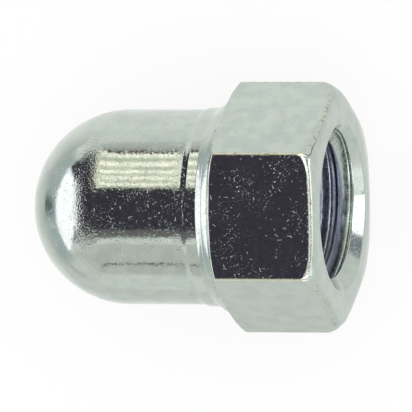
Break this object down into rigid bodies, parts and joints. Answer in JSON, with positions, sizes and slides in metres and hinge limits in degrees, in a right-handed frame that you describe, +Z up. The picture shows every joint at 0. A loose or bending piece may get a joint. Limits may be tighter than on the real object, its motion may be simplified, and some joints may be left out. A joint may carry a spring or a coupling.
{
  "type": "domed cap nut",
  "caption": "Domed hexagon cap nut with a long round barrel and a blind threaded hole that covers the end of a bolt or stud.",
  "frame": {"origin": "middle of the underside of the bounding box, on the surface that the nut lies on", "axes": "+Z up. The nut's axis lies in the XZ plane, 5.81 degrees off level: the mouth of the hole faces +X and slightly up, the dome is towards -X, and the lowest flat faces down"},
  "size_m": [0.0208, 0.0162, 0.0146],
  "materials": {
    "zinc_plate": "bright zinc plate over formed steel, smooth, with fine turning marks, small pits and scuffs"
  },
  "bodies": {
    "root": {"cap_nut": "zinc_plate"}
  },
  "joints": []
}
